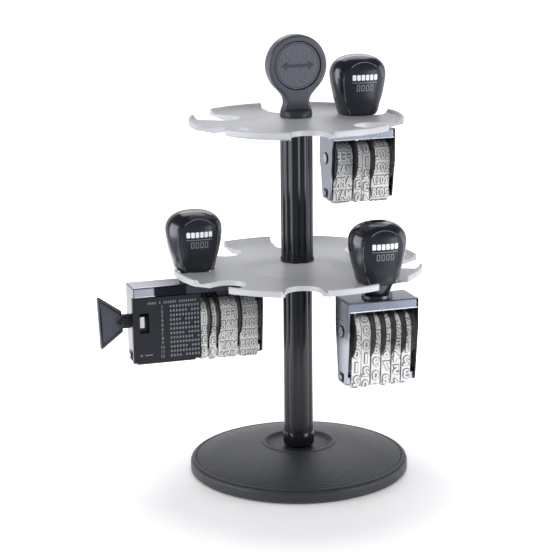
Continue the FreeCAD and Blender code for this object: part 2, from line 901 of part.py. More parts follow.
def make_phrase_drum():
    left = -0.5 * phrase_width + sheet + drum_end_gap
    right = -0.5 * phrase_width + drum_zone - drum_end_gap
    axis = -phrase_axle_drop
    core = rod(drum_radius, V(left, 0, axis), X_AXIS, right - left)
    cheeks = [
        rod(drum_flange_radius, V(left, 0, axis), X_AXIS, drum_cheek),
        rod(drum_flange_radius, V(right - drum_cheek, 0, axis), X_AXIS, drum_cheek),
    ]
    drum = fused(core, cheeks)
    bore_start = -0.5 * phrase_width + 11.0
    drum = drum.cut(rod(axle_radius + running_gap, V(bore_start, 0, axis), X_AXIS, phrase_width))
    return drum.cut(rod(knob_spigot_radius + seat_gap, V(left - 1, 0, axis), X_AXIS, 7.0))


def make_phrase_knob():
    left = -0.5 * phrase_width
    axis = -phrase_axle_drop
    spigot = rod(knob_spigot_radius, V(left, 0, axis), X_AXIS, sheet + drum_end_gap + 5.5)
    shaft = rod(knob_shaft_radius, V(left - 1.0, 0, axis), X_AXIS, 1.0 + sheet + 0.2)
    neck_start = left - 0.3 - knob_neck_length
    neck = rod(knob_neck_radius, V(neck_start, 0, axis), X_AXIS, knob_neck_length)
    ribs = []
    for i in range(12):
        turn = 2 * math.pi * i / 12
        y = (knob_neck_radius + 0.25) * math.cos(turn)
        z = (knob_neck_radius + 0.25) * math.sin(turn) + axis
        ribs.append(rod(0.55, V(neck_start + 0.8, y, z), X_AXIS, knob_neck_length))
    neck = neck.cut(ribs)
    half_y = 0.5 * knob_blade_thickness
    tip = neck_start - knob_reach
    root_half = 0.5 * knob_root_height
    tip_half = 0.5 * knob_tip_height
    points = [
        V(neck_start + 0.5, -half_y, axis - root_half),
        V(neck_start + 0.5, -half_y, axis + root_half),
        V(tip, -half_y, axis + tip_half),
        V(tip, -half_y, axis - tip_half),
    ]
    outline = face_of(points)
    blade = rounded(outline.extrude(V(0, knob_blade_thickness, 0)), 0.8, lambda middle, edge: True)
    field = outline.makeOffset2D(-knob_border)
    for start in (-half_y - knob_recess, half_y - knob_recess):
        recess = field.copy()
        recess.translate(V(0, start + half_y, 0))
        blade = blade.cut(recess.extrude(V(0, 2 * knob_recess, 0)))
    boss_start = V(neck_start + 0.4, -half_y - knob_boss_proud, axis)
    boss_length = knob_blade_thickness + 2 * knob_boss_proud
    blade = fused(blade, [rod(knob_boss_radius, boss_start, Y_AXIS, boss_length)])
    blade.rotate(V(0, 0, axis), X_AXIS, -knob_lean)
    return fused(neck, [blade, shaft, spigot])


def make_phrase_cover():
    left = -0.5 * phrase_width
    right = partition_x + sheet
    front = -0.5 * phrase_depth
    top = -lip_drop - 0.3
    plate = block(left - cover_wrap, right, front - cover_thickness, front, -cover_drop, top)
    wrap_end = front - cover_thickness + cover_wrap_depth
    wrap = block(left - cover_wrap, left, front - cover_thickness, wrap_end, -cover_drop, top)
    window_left = left + window_inset
    middle = -phrase_axle_drop
    window = block(
        window_left,
        window_left + window_width,
        front - 5,
        front + 5,
        middle - 0.5 * window_height,
        middle + 0.5 * window_height,
    )
    return fused(plate, [wrap]).cut(window)


# ---- build everything ----
save("base_shell", make_base_shell())
save("base_weight", make_base_weight())
save("base_pad", make_base_pad())
save("spindle_rod", make_spindle_rod())
save("spindle_nut", make_spindle_nut())
save("thrust_washer", make_thrust_washer())
save("lower_pole", make_lower_pole())
save("upper_pole", make_upper_pole())
save("finial", make_finial())
save("finial_medallion", make_medallion())

lower_tray = make_tray(
    lower_tray_radius, lower_tray_top, lower_hub_rise, lower_slots, lower_first_slot, lower_slot_depth,
)
save("lower_tray", lower_tray)
upper_tray = make_tray(
    upper_tray_radius, upper_tray_top, upper_hub_rise, upper_slots, upper_first_slot, upper_slot_depth,
)
save("upper_tray", upper_tray)

lower_seat = lower_tray_radius - lower_slot_depth + seat_offset
upper_seat = upper_tray_radius - upper_slot_depth + seat_offset + date_seat_shift

number_spot = polar(lower_seat, lower_first_slot + 360.0 / lower_slots * number_slot)
number_spot.z = lower_plate_top - number_neck
save_stamp(
    "number", number_width, number_depth, number_height, number_neck,
    number_axle_drop, number_spot, True,
)
number_frame = make_frame(number_width, number_depth, number_height, number_axle_drop)
save("number_frame", place(number_frame, number_spot))
save_wheels(
    "number", number_wheels, -0.5 * number_width + sheet + number_left_play,
    number_flange, number_flange_radius, number_axle_drop, number_height, number_spot,
)

date_spot = polar(upper_seat, upper_first_slot + 360.0 / upper_slots * date_slot)
date_spot.z = upper_plate_top - date_neck
save_stamp(
    "date", date_width, date_depth, date_height, date_neck,
    date_axle_drop, date_spot, False,
)
date_frame = make_frame(date_width, date_depth, date_height, date_axle_drop)
save("date_frame", place(date_frame, date_spot))
save_wheels(
    "date", date_wheels, -0.5 * date_width + sheet + date_left_play,
    date_flange, date_flange_radius, date_axle_drop, date_height, date_spot,
)

phrase_turn = lower_first_slot + 360.0 / lower_slots * phrase_slot
phrase_spot = polar(lower_seat + phrase_seat_shift, phrase_turn)
phrase_spot.z = lower_plate_top - phrase_neck
handle, inlays = make_handle(phrase_neck, False)
save("phrase_handle", place(handle, phrase_spot))
save("phrase_inlays", place(inlays, phrase_spot))
save("phrase_frame", place(make_phrase_frame(), phrase_spot))
save("phrase_axle", place(make_phrase_axle(), phrase_spot))
save("phrase_bridge", place(make_bridge(phrase_width, phrase_height), phrase_spot))
save("phrase_drum", place(make_phrase_drum(), phrase_spot))
save("phrase_knob", place(make_phrase_knob(), phrase_spot))
save("phrase_cover", place(make_phrase_cover(), phrase_spot))
save_wheels(
    "phrase", phrase_wheels, phrase_left,
    phrase_flange, phrase_flange_radius, phrase_axle_drop, phrase_height, phrase_spot,
)
drum_inset = drum_end_gap + drum_cheek + side_gap
drum_left = -0.5 * phrase_width + sheet + drum_inset
drum_length = drum_zone - sheet - 2 * drum_inset
drum_core = drum_radius + band_seat
drum_band = make_band(
    drum_left, drum_length, phrase_axle_drop, phrase_height, drum_core, drum_band_thickness,
)
save("phrase_band_text", place(drum_band, phrase_spot))
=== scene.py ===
import bpy
import math
from mathutils import Matrix, Vector
from mathutils.bvhtree import BVHTree


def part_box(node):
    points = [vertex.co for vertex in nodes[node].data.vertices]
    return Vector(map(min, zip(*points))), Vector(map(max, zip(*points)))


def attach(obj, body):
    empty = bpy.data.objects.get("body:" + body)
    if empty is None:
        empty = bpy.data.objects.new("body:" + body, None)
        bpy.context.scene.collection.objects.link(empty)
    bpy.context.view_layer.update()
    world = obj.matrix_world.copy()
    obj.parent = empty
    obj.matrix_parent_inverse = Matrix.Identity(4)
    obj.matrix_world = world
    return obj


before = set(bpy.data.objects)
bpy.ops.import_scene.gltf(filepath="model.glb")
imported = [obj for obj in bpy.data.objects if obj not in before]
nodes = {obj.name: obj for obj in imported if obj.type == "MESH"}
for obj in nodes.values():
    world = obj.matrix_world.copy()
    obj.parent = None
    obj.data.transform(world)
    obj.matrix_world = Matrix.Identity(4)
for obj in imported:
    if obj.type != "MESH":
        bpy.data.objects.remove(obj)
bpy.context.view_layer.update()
MM = 0.001
YAW = 18.4  # degrees that the camera stands to the stamps' left


# ---- materials ----
def material(name, color, rough, metal=0.0, spec=0.5, coat=0.0, coat_rough=0.05):
    mat = bpy.data.materials.new(name)
    mat.use_nodes = True
    shader = mat.node_tree.nodes["Principled BSDF"]
    shader.inputs["Base Color"].default_value = (*color, 1)
    shader.inputs["Roughness"].default_value = rough
    shader.inputs["Metallic"].default_value = metal
    shader.inputs["Coat Weight"].default_value = coat
    shader.inputs["Coat Roughness"].default_value = coat_rough
    shader.inputs["Specular IOR Level"].default_value = spec
    return mat


def bump(mat, scale, strength, distance, detail=3.0):
    """Fine moulded grain."""
    tree = mat.node_tree
    noise = tree.nodes.new("ShaderNodeTexNoise")
    coord = tree.nodes.new("ShaderNodeTexCoord")
    grain = tree.nodes.new("ShaderNodeBump")
    noise.inputs["Scale"].default_value = scale
    noise.inputs["Detail"].default_value = detail
    grain.inputs["Strength"].default_value = strength
    grain.inputs["Distance"].default_value = distance
    tree.links.new(coord.outputs["Object"], noise.inputs["Vector"])
    tree.links.new(noise.outputs["Fac"], grain.inputs["Height"])
    tree.links.new(grain.outputs["Normal"], tree.nodes["Principled BSDF"].inputs["Normal"])
    return mat


def mottle(mat, scale, tone, rough_spread):
    """Slight unevenness of tone and gloss, as moulded or plated surfaces have."""
    tree = mat.node_tree
    new, link = tree.nodes.new, tree.links.new
    shader = tree.nodes["Principled BSDF"]
    coord = new("ShaderNodeTexCoord")
    noise = new("ShaderNodeTexNoise")
    noise.inputs["Scale"].default_value = scale
    noise.inputs["Detail"].default_value = 4.0
    link(coord.outputs["Object"], noise.inputs["Vector"])
    rough = shader.inputs["Roughness"].default_value
    gloss = new("ShaderNodeMapRange")
    gloss.inputs["To Min"].default_value = max(rough - rough_spread, 0.03)
    gloss.inputs["To Max"].default_value = rough + rough_spread
    link(noise.outputs["Fac"], gloss.inputs["Value"])
    link(gloss.outputs["Result"], shader.inputs["Roughness"])
    level = new("ShaderNodeMapRange")
    level.inputs["To Min"].default_value = 1.0 - tone
    level.inputs["To Max"].default_value = 1.0 + tone
    link(noise.outputs["Fac"], level.inputs["Value"])
    scaled = new("ShaderNodeVectorMath")
    scaled.operation = "SCALE"
    source = shader.inputs["Base Color"]
    if source.is_linked:
        link(source.links[0].from_socket, scaled.inputs[0])
    else:
        scaled.inputs[0].default_value = source.default_value[:3]
    link(level.outputs["Result"], scaled.inputs["Scale"])
    link(scaled.outputs["Vector"], source)
    return mat


def walls_lighter(mat, flat, wall):
    """Painted light: the upright faces of the milky plastic painted lighter than the flat ones, for the
    light they pass.
    """
    tree = mat.node_tree
    geometry = tree.nodes.new("ShaderNodeNewGeometry")
    split = tree.nodes.new("ShaderNodeSeparateXYZ")
    size = tree.nodes.new("ShaderNodeMath")
    size.operation = "ABSOLUTE"
    ramp = tree.nodes.new("ShaderNodeValToRGB")
    ramp.color_ramp.elements[0].position = 0.3
    ramp.color_ramp.elements[0].color = (*wall, 1)
    ramp.color_ramp.elements[1].position = 0.95
    ramp.color_ramp.elements[1].color = (*flat, 1)
    tree.links.new(geometry.outputs["Normal"], split.inputs["Vector"])
    tree.links.new(split.outputs["Z"], size.inputs[0])
    tree.links.new(size.outputs["Value"], ramp.inputs["Fac"])
    tree.links.new(ramp.outputs["Color"], tree.nodes["Principled BSDF"].inputs["Base Color"])
    return mat


def tone_ramp(tree, stops, source):
    """A colour ramp over the stops, driven by a socket."""
    ramp = tree.nodes.new("ShaderNodeValToRGB")
    marks = ramp.color_ramp.elements
    for i, (place, color) in enumerate(stops):
        mark = marks[i] if i < 2 else marks.new(1.0)
        mark.position = place
        mark.color = (*color, 1)
    tree.links.new(source, ramp.inputs["Fac"])
    return ramp.outputs["Color"]


def across(mat, stops, axis="X", top_stops=None):
    """A tone that changes along one axis of its node, with other tones on level faces if given."""
    tree = mat.node_tree
    coord = tree.nodes.new("ShaderNodeTexCoord")
    split = tree.nodes.new("ShaderNodeSeparateXYZ")
    tree.links.new(coord.outputs["Generated"], split.inputs["Vector"])
    color = tone_ramp(tree, stops, split.outputs[axis])
    if top_stops:
        facing = tree.nodes.new("ShaderNodeSeparateXYZ")
        level = tree.nodes.new("ShaderNodeMapRange")
        level.inputs["From Min"].default_value = 0.6
        level.inputs["From Max"].default_value = 0.9
        blend = tree.nodes.new("ShaderNodeMix")
        blend.data_type = "RGBA"
        tree.links.new(coord.outputs["Normal"], facing.inputs["Vector"])
        tree.links.new(facing.outputs["Z"], level.inputs["Value"])
        tree.links.new(level.outputs["Result"], blend.inputs["Factor"])
        tree.links.new(color, blend.inputs["A"])
        tree.links.new(tone_ramp(tree, top_stops, split.outputs[axis]), blend.inputs["B"])
        color = blend.outputs["Result"]
    tree.links.new(color, tree.nodes["Principled BSDF"].inputs["Base Color"])
    return mat


PLATED = (0.42, 0.45, 0.51)
PLATED_SIDE_REFLECTION = (0.34, 0.365, 0.415)
# tones across a node: the place along it, 0 to 1, and the colour there
# painted reflection on the chrome frames: darker on the left side plate, dark at the right end
CHROME_REFLECTION_STOPS = [(0.0, PLATED_SIDE_REFLECTION), (0.022, PLATED), (0.965, PLATED), (0.975, (0.03, 0.033, 0.04))]
# painted reflection on the phrase frame's top face: pale at the left, dark to the right
DIAL_TOP_REFLECTION_STOPS = [
    (0.0, (0.62, 0.63, 0.66)), (0.14, (0.50, 0.51, 0.54)), (0.34, (0.16, 0.165, 0.18)),
    (0.55, (0.04, 0.042, 0.05)),
]
# painted reflection along the phrase frame: darker left side plate, a pale band near its left end, dark
# beyond
DIAL_REFLECTION_STOPS = [
    (0.0, (0.18, 0.188, 0.21)), (0.012, (0.70, 0.72, 0.77)), (0.15, (0.74, 0.76, 0.80)),
    (0.165, (0.03, 0.032, 0.04)), (0.40, (0.02, 0.022, 0.028)), (0.41, (0.09, 0.095, 0.11)),
    (0.97, (0.05, 0.052, 0.06)),
]
# painted shade: the finial darker towards its foot
FINIAL_SHADE_STOPS = [
    (0.0, (0.017, 0.018, 0.023)), (0.11, (0.021, 0.023, 0.029)), (0.17, (0.036, 0.038, 0.048)),
    (0.23, (0.060, 0.063, 0.078)), (1.0, (0.060, 0.063, 0.076)),
]
KNOB_BLADE, KNOB_STEM = (0.066, 0.071, 0.086), (0.016, 0.018, 0.023)
KNOB_STOPS = [(0.0, KNOB_BLADE), (0.46, KNOB_BLADE), (0.51, KNOB_STEM), (1.0, KNOB_STEM)]
# tray tones: the lighter wall tone is painted light through the milky plastic
TRAY_FLAT, TRAY_WALL_LIT = (0.445, 0.45, 0.465), (0.535, 0.54, 0.555)
RAMPED = (0.5, 0.5, 0.5)  # stands in until a ramp takes its place
LOOK = {
    "foot": bump(material("foot", (0.0205, 0.0228, 0.0285), 0.43, spec=0.46), 1000, 0.6, 0.0005),
    "pole": material("pole", (0.006, 0.007, 0.011), 0.18, spec=0.4),
    "tray": walls_lighter(material("tray", RAMPED, 0.36, spec=0.3), TRAY_FLAT, TRAY_WALL_LIT),
    "finial": across(
        bump(material("finial", RAMPED, 0.34, spec=0.5), 1200, 0.25, 0.0002), FINIAL_SHADE_STOPS, "Z",
    ),
    "medallion": bump(material("medallion", (0.088, 0.093, 0.112), 0.5, spec=0.4), 650, 0.9, 0.0006),
    "handle": material("handle", (0.010, 0.011, 0.016), 0.19, spec=0.88),
    "inlay": material("inlay", (0.016, 0.018, 0.024), 0.30, spec=0.32),
    "chrome": across(material("chrome", RAMPED, 0.18, metal=1.0), CHROME_REFLECTION_STOPS),
    "chrome_dial": across(
        material("chrome_dial", RAMPED, 0.18, metal=1.0), DIAL_REFLECTION_STOPS, top_stops=DIAL_TOP_REFLECTION_STOPS,
    ),
    "lip_highlight_paint": material("lip_highlight_paint", (0.90, 0.91, 0.93), 0.35, spec=0.5),
    "steel": material("steel", (0.55, 0.55, 0.56), 0.25, metal=1.0),
    "wheel": material("wheel", (0.008, 0.0085, 0.010), 0.30, spec=0.4),
    "band": material("band", (0.79, 0.79, 0.765), 0.6, spec=0.3),
    "type": material("type", (0.75, 0.75, 0.73), 0.55, spec=0.3),
    # the skirts' darker tone is ink and painted shade round the raised characters
    "skirt": material("skirt", (0.17, 0.17, 0.175), 0.6, spec=0.3),
    "ivory": material("ivory", (0.78, 0.76, 0.70), 0.55, spec=0.3),
    "cover": material("cover", (0.0100, 0.0120, 0.0170), 0.34, spec=0.33),
    "print": material("print", (0.85, 0.86, 0.88), 0.6, spec=0.2),
    "dim_print": material("dim_print", (0.18, 0.185, 0.20), 0.5),
    "knob": across(material("knob", RAMPED, 0.38, spec=0.45), KNOB_STOPS),
    # a pale line, painted highlight on the inlays' bezels
    "border": material("border", (0.15, 0.16, 0.19), 0.45, spec=0.4),
    "emboss": material("emboss", (0.045, 0.048, 0.060), 0.5, spec=0.3),
    "dark": material("dark", (0.004, 0.004, 0.005), 0.4, spec=0.2),
    "pad": material("pad", (0.01, 0.01, 0.01), 0.8),
    "weight": material("weight", (0.1, 0.1, 0.1), 0.6, metal=0.5),
    "washer": material("washer", (0.7, 0.7, 0.68), 0.4),
}
# how fine the unevenness is, and its spread in tone and in roughness
MOTTLE = {
    "foot": (220, 0.10, 0.05), "pole": (60, 0.06, 0.03), "tray": (90, 0.02, 0.05),
    "finial": (180, 0.08, 0.05), "medallion": (180, 0.08, 0.05), "handle": (70, 0.06, 0.03),
    "inlay": (220, 0.08, 0.06), "chrome": (45, 0.05, 0.05), "chrome_dial": (45, 0.05, 0.05),
    "steel": (120, 0.08, 0.08), "wheel": (150, 0.10, 0.06), "band": (420, 0.14, 0.08),
    "type": (420, 0.16, 0.08), "skirt": (420, 0.16, 0.08), "ivory": (250, 0.06, 0.06),
    "cover": (160, 0.10, 0.06),
    "knob": (160, 0.08, 0.06), "print": (300, 0.05, 0.05), "dim_print": (300, 0.12, 0.05),
    "dark": (150, 0.10, 0.06), "pad": (200, 0.12, 0.06), "weight": (80, 0.10, 0.08),
    "washer": (90, 0.05, 0.05), "lip_highlight_paint": (120, 0.03, 0.06), "border": (150, 0.08, 0.05),
    "emboss": (150, 0.08, 0.05),
}
for key, (scale, tone, rough_spread) in MOTTLE.items():
    mottle(LOOK[key], scale, tone, rough_spread)

# which look a node has, by its whole name or by the end of it
WHOLE = {
    "base_shell": "foot",
    "base_pad": "pad",
    "base_weight": "weight",
    "thrust_washer": "washer",
    "finial": "finial",
    "finial_medallion": "medallion",
    "phrase_cover": "cover",
    "phrase_knob": "knob",
    "phrase_drum": "wheel",
    # the text band takes the dark wheel look: painted shade of the recess in the cover's window
    "phrase_band_text": "wheel",
    "phrase_frame": "chrome_dial",
}
ENDINGS = {
    "_handle": "handle",
    "_inlays": "inlay",
    "_frame": "chrome",
    "_bridge": "chrome",
    "_axle": "steel",
    "_pole": "pole",
    "_tray": "tray",
}


def material_key(name):
    if name in WHOLE:
        return WHOLE[name]
    if "_wheel_" in name:
        return "wheel"
    if "_band_" in name:
        return "band"
    for ending, key in ENDINGS.items():
        if name.endswith(ending):
            return key
    return "steel"


for name, obj in nodes.items():
    obj.data.materials.clear()
    obj.data.materials.append(LOOK[material_key(name)])


# ---- small edge roundings that catch the light ----
def bevel(names, width, segments=2, angle=35):
    for name in names:
        mod = nodes[name].modifiers.new("edge", "BEVEL")
        mod.width = width * MM
        mod.segments = segments
        mod.limit_method = "ANGLE"
        mod.angle_limit = math.radians(angle)
        mod.harden_normals = False


bevel(["number_frame", "date_frame", "phrase_frame"], 0.22)
bevel(["lower_tray", "upper_tray"], 0.3)
bevel(["phrase_cover"], 0.2)


# ---- helpers for new pieces ----
def box_mm(name):
    low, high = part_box(name)
    return Vector(low) / MM, Vector(high) / MM


def add_mesh(name, verts, faces, mat, body, smooth=False):
    """A new piece from points in millimetres."""
    mesh = bpy.data.meshes.new(name)
    mesh.from_pydata([(x * MM, y * MM, z * MM) for x, y, z in verts], [], faces)
    mesh.validate()
    mesh.materials.append(mat)
    if smooth:
        mesh.polygons.foreach_set("use_smooth", [True] * len(mesh.polygons))
    obj = bpy.data.objects.new(name, mesh)
    bpy.context.collection.objects.link(obj)
    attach(obj, body)
    return obj


TEXT_CACHE = {}
BOLD = 0.03  # how much the strokes are widened, in text heights
CAP_HEIGHT = 0.76  # height of a digit at text size one
SKIRT = 0.075  # how far a skirt stands out round its character, in character heights


def text_shape(body, bold=BOLD):
    """A line of text in a unit box, raised by one: its points, its faces, and its width
    over its height before that."""
    key = (body, bold)
    if key in TEXT_CACHE:
        return TEXT_CACHE[key]
    curve = bpy.data.curves.new("text", "FONT")
    curve.body = body
    curve.size = 1.0
    curve.resolution_u = 2
    curve.extrude = 0.5
    curve.offset = bold
    obj = bpy.data.objects.new("text", curve)
    bpy.context.collection.objects.link(obj)
    graph = bpy.context.evaluated_depsgraph_get()
    mesh = obj.evaluated_get(graph).to_mesh()
    verts = [v.co.copy() for v in mesh.vertices]
    faces = [tuple(f.vertices) for f in mesh.polygons]
    obj.evaluated_get(graph).to_mesh_clear()
    bpy.data.objects.remove(obj)
    low_x = min(v.x for v in verts)
    high_x = max(v.x for v in verts)
    low_y = min(v.y for v in verts)
    high_y = max(v.y for v in verts)
    wide, tall = high_x - low_x, high_y - low_y
    flat = [((v.x - low_x) / wide - 0.5, (v.y - low_y) / tall - 0.5, v.z + 0.5) for v in verts]
    TEXT_CACHE[key] = (flat, faces, wide / tall)
    return TEXT_CACHE[key]


# ---- rubber bands with raised reversed characters ----
LOW_RADIUS, LOW_SPREAD = 2.5, 3.4  # a band's bend at the bridge's corners, and their half distance
BIG_STEPS, LOW_STEPS = 24, 12


class Belt:
    """Outer path of a band, from the top over the front and round, in millimetres."""

    def __init__(self, node, low_radius=LOW_RADIUS, spread=LOW_SPREAD):
        low, high = box_mm(node)
        self.x = (low.x, high.x)
        self.y = 0.5 * (low.y + high.y)
        big = 0.5 * (high.y - low.y)
        top_z = high.z - big
        low_z = low.z + low_radius
        span = math.hypot(spread, low_z - top_z)
        lean = math.atan2(low_z - top_z, spread) + math.acos((big - low_radius) / span)
        half = []
        for i in range(BIG_STEPS + 1):
            a = math.pi / 2 + (lean - math.pi / 2) * i / BIG_STEPS
            half.append((big * math.cos(a), top_z + big * math.sin(a)))
        for i in range(LOW_STEPS + 1):
            a = lean + (-math.pi / 2 - lean) * i / LOW_STEPS
            half.append((spread + low_radius * math.cos(a), low_z + low_radius * math.sin(a)))
        front = [(-y, z) for y, z in half]
        back = list(reversed(half))
        loop = front + back
        self.points = [loop[0]]
        self.length = [0.0]
        for p in loop[1:]:
            q = self.points[-1]
            step = math.hypot(p[0] - q[0], p[1] - q[1])
            if step > 1e-6:
                self.points.append(p)
                self.length.append(self.length[-1] + step)
        self.total = self.length[-1]

    def at(self, s, w):
        """The point (y, z) at length s along the band and w outwards from it."""
        s = s % self.total
        lo, hi = 0, len(self.length) - 1
        while hi - lo > 1:
            mid = (lo + hi) // 2
            if self.length[mid] <= s:
                lo = mid
            else:
                hi = mid
        t = (s - self.length[lo]) / (self.length[hi] - self.length[lo])
        p, q = self.points[lo], self.points[hi]
        dy, dz = q[0] - p[0], q[1] - p[1]
        size = math.hypot(dy, dz)
        ny, nz = dz / size, -dy / size
        return self.y + p[0] + dy * t + ny * w, p[1] + dz * t + nz * w


TYPE_RELIEF, SKIRT_RELIEF, SUNK = 0.65, 0.35, 0.1


def type_rows(node, body, rows, tall, share, offset):
    """Raised, reversed rows of characters evenly spaced round a band, each on a darker skirt of ink and
    painted shade.
    """
    raised_rows(node + "_type", node, body, rows, tall, share, offset, "type", TYPE_RELIEF, 0.0)
    raised_rows(node + "_skirt", node, body, rows, tall, share, offset, "skirt", SKIRT_RELIEF, SKIRT)


def raised_rows(name, node, body, rows, tall, share, offset, mat, relief, skirt):
    """One layer of the characters, `skirt` times their height wider all round. They fill
    `share` of the band's width at most and start `offset` rows on from its top."""
    belt = Belt(node)
    middle = 0.5 * (belt.x[0] + belt.x[1])
    room = (belt.x[1] - belt.x[0]) * share
    pitch = belt.total / len(rows)
    grow = 2 * skirt * tall
    verts, faces = [], []
    for i, row in enumerate(rows):
        aspect = text_shape(row)[2]
        shape, shape_faces = text_shape(row, BOLD + skirt * CAP_HEIGHT)[:2]
        wide = min(room, tall * aspect) + grow
        start = len(verts)
        centre = (i + 0.5 + offset) * pitch
        for u, v, w in shape:
            y, z = belt.at(centre - v * (tall + grow), w * (relief + SUNK) - SUNK)
            verts.append((middle - u * wide, y, z))
        faces += [tuple(start + k for k in reversed(f)) for f in shape_faces]
    return add_mesh(name, verts, faces, LOOK[mat], body)


def fitted_rows(node, wanted_pitch):
    """How many rows go round a band at about this pitch."""
    return round(Belt(node).total / wanted_pitch)


def cycle(words, count):
    """The words over and over, up to a count."""
    return [words[k % len(words)] for k in range(count)]


MONTHS = ["JAN", "FEB", "MAR", "APR", "MAY", "JUN", "JUL", "AUG", "SEP", "OCT", "NOV", "DEC"]
DIGITS = ["0", "1", "2", "3", "4", "5", "6", "7", "8", "9"]
YEARS = [str(2024 + k) for k in range(12)]
NUMBER_PITCH, NUMBER_TALL = 6.9, 5.0
DATE_PITCH, DATE_TALL = 6.8, 4.9
PHRASE_PITCH, PHRASE_TALL = 5.7, 4.1
DIGIT_SHARE = 0.76
FIRST_TURN, NEXT_TURN = 0.35, 2.37  # in rows, so that neighbouring bands show other digits
NUMBER_BANDS = range(1, 7)

for i in NUMBER_BANDS:
    node = "number_band_%d" % i
    rows = cycle(DIGITS, fitted_rows(node, NUMBER_PITCH))
    type_rows(node, "number_stamp", rows, NUMBER_TALL, DIGIT_SHARE, FIRST_TURN + NEXT_TURN * i)
for stamp, pitch, tall, turn in (
    ("date", DATE_PITCH, DATE_TALL, 0.1),
    ("phrase", PHRASE_PITCH, PHRASE_TALL, 0.4),
):
    body = stamp + "_stamp"
    for wheel, words, share, shift in (
        ("month", MONTHS, 0.92, 0.0),
        ("tens", ["0", "1", "2", "3"], 0.78, 0.3),
        ("units", DIGITS, 0.78, 0.5),
        ("year", YEARS, 0.94, 0.0),
    ):
        node = "%s_band_%s" % (stamp, wheel)
        rows = cycle(words, fitted_rows(node, pitch))
        type_rows(node, body, rows, tall, share, turn + shift)


# ---- printed marks, a painted highlight round the inlays and painted shade on the knob ----
RAY_START = -0.3  # metres, well in front of the object
DRAPE_ROWS = 3


def front_finder(names):
    """Gives the front-most y of some nodes at a point (x, z), in millimetres."""
    graph = bpy.context.evaluated_depsgraph_get()
    trees = []
    for name in names:
        obj = nodes[name]
        back = obj.matrix_world.inverted()
        ray = (back.to_3x3() @ Vector((0, 1, 0))).normalized()
        trees.append((BVHTree.FromObject(obj, graph), obj.matrix_world.copy(), back, ray))

    def front(x, z):
        found = []
        for tree, world, back, ray in trees:
            hit = tree.ray_cast(back @ Vector((x * MM, RAY_START, z * MM)), ray)[0]
            if hit:
                found.append((world @ hit).y / MM)
        return min(found)

    return front


def draped(name, cells, covered, mat, body, proud=0.05, thick=0.08):
    """Flat marks laid on the front of some nodes. Each cell is a list of columns
    (x, low z, high z) in millimetres."""
    front = front_finder(covered)
    verts, faces = [], []
    column_points = DRAPE_ROWS + 1
    for columns in cells:
        start = len(verts)
        for x, low, high in columns:
            for k in range(column_points):
                z = low + (high - low) * k / DRAPE_ROWS
                verts.append((x, front(x, z) - proud, z))
        for c in range(len(columns) - 1):
            for k in range(DRAPE_ROWS):
                i = start + c * column_points + k
                faces.append((i, i + column_points, i + column_points + 1, i + 1))
    piece = add_mesh(name, verts, faces, mat, body)
    solid = piece.modifiers.new("thickness", "SOLIDIFY")
    solid.thickness = thick * MM
    solid.offset = 1
    return piece


def bar(x, z, wide, tall, steps=6):
    """Columns of a plain bar about its middle."""
    return [(x + (i / steps - 0.5) * wide, z - 0.5 * tall, z + 0.5 * tall) for i in range(steps + 1)]


def outline_box(x, z, wide, tall, line):
    """Four bars that frame an empty box."""
    return [
        bar(x, z + 0.5 * (tall - line), wide, line, 3),
        bar(x, z - 0.5 * (tall - line), wide, line, 3),
        bar(x - 0.5 * (wide - line), z, line, tall, 1),
        bar(x + 0.5 * (wide - line), z, line, tall, 1),
    ]


def round_box(x, z, wide, tall, corner, steps=8):
    """Columns of a block with rounded corners."""
    columns = []
    for i in range(steps + 1):
        u = 0.5 * wide * math.sin(math.pi * (i / steps - 0.5))
        inner = max(abs(u) - (0.5 * wide - corner), 0.0)
        h = 0.5 * tall - corner + math.sqrt(max(corner * corner - inner * inner, 0.0))
        columns.append((x + u, z - h, z + h))
    return columns


def three_point_arc(a, b, c, steps):
    """Points on the circle through three points, from a over b to c."""
    d = 2 * (a[0] * (b[1] - c[1]) + b[0] * (c[1] - a[1]) + c[0] * (a[1] - b[1]))
    qa, qb, qc = (p[0] ** 2 + p[1] ** 2 for p in (a, b, c))
    ox = (qa * (b[1] - c[1]) + qb * (c[1] - a[1]) + qc * (a[1] - b[1])) / d
    oz = (qa * (c[0] - b[0]) + qb * (a[0] - c[0]) + qc * (b[0] - a[0])) / d
    r = math.hypot(a[0] - ox, a[1] - oz)
    first, mid, last = (math.atan2(p[1] - oz, p[0] - ox) for p in (a, b, c))
    full = 2 * math.pi
    if (mid - first) % full > (last - first) % full:
        sweep = -((first - last) % full)
    else:
        sweep = (last - first) % full
    return [(ox + r * math.cos(first + sweep * i / steps), oz + r * math.sin(first + sweep * i / steps))
            for i in range(steps + 1)]


def ribbon(name, path, wide, covered, mat, body, proud=0.05):
    """A flat line laid along a path (x, z) on the front of some nodes."""
    front = front_finder(covered)
    verts, faces = [], []
    for i, (x, z) in enumerate(path):
        ax, az = path[max(i - 1, 0)]
        bx, bz = path[min(i + 1, len(path) - 1)]
        size = math.hypot(bx - ax, bz - az)
        nx, nz = -(bz - az) / size, (bx - ax) / size
        y = front(x, z)
        for side in (-0.5, 0.5):
            for depth in (0.15, -proud):
                verts.append((x + nx * side * wide, y + depth, z + nz * side * wide))
    for i in range(len(path) - 1):
        k = 4 * i
        faces += [(k, k + 4, k + 6, k + 2), (k + 1, k + 3, k + 7, k + 5),
                  (k, k + 1, k + 5, k + 4), (k + 2, k + 6, k + 7, k + 3)]
    k = 4 * (len(path) - 1)
    faces += [(0, 2, 3, 1), (k, k + 1, k + 3, k + 2)]
    add_mesh(name, verts, faces, mat, body)


